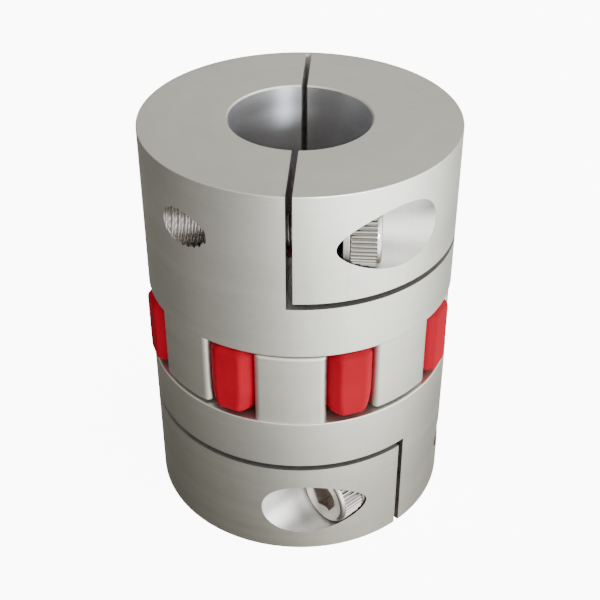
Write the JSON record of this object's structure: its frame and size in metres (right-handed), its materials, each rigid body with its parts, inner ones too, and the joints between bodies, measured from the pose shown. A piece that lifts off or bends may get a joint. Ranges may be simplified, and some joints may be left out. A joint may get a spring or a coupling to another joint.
{
  "type": "jaw coupling",
  "caption": "Clamp-type jaw coupling: two slotted aluminium clamp hubs with curved jaws, a red elastomer spider between them, and a clamp screw in each hub.",
  "frame": {"origin": "centre of the lower hub's outer end face, on the coupling's axis", "axes": "+Z along the shafts, from the lower hub to the upper hub; the upper hub's clamp slit faces -Y and its screw head +X"},
  "size_m": [0.065, 0.065, 0.088],
  "materials": {
    "hub_aluminium": "satin, fine turned, clear anodised",
    "spider_elastomer": "moulded polyurethane, semi-matt red",
    "screw_steel": "bright zinc-nickel plated, knurled head",
    "washer_steel": "turned, plain"
  },
  "bodies": {
    "lower_hub": {"lower_hub": "hub_aluminium"},
    "upper_hub": {"upper_hub": "hub_aluminium"},
    "spider": {"spider": "spider_elastomer"},
    "lower_washer": {"lower_washer": "washer_steel"},
    "lower_clamp_screw": {"lower_clamp_screw": "screw_steel"},
    "upper_washer": {"upper_washer": "washer_steel"},
    "upper_clamp_screw": {"upper_clamp_screw": "screw_steel"}
  },
  "joints": [
    {"name": "spider_pull", "type": "slide", "parent": "lower_hub", "child": "spider", "axis": [0, 0, 1], "range_m": [0, 0.0175]},
    {"name": "upper_hub_pull", "type": "slide", "parent": "spider", "child": "upper_hub", "axis": [0, 0, 1], "range_m": [0, 0.0175]},
    {"name": "lower_washer_travel", "type": "slide", "parent": "lower_hub", "child": "lower_washer", "axis": [-0.7071, -0.7071, 0], "range_m": [0, 0.0125]},
    {"name": "lower_screw_turn", "type": "hinge", "parent": "lower_washer", "child": "lower_clamp_screw", "pos_m": [0.01092, -0.02408, 0.0115], "axis": [-0.7071, -0.7071, 0], "range_deg": [0, 3600]},
    {"name": "upper_washer_travel", "type": "slide", "parent": "upper_hub", "child": "upper_washer", "axis": [1, 0, 0], "range_m": [-0.0017, 0.0108]},
    {"name": "upper_screw_turn", "type": "hinge", "parent": "upper_washer", "child": "upper_clamp_screw", "pos_m": [0.011, -0.02475, 0.0765], "axis": [1, 0, 0], "range_deg": [-489.6, 3110.4]}
  ],
  "couplings": [
    {"joint": "lower_washer_travel", "follows": "lower_screw_turn", "m_per_rad": 0.00019894},
    {"joint": "upper_washer_travel", "follows": "upper_screw_turn", "m_per_rad": 0.00019894}
  ]
}
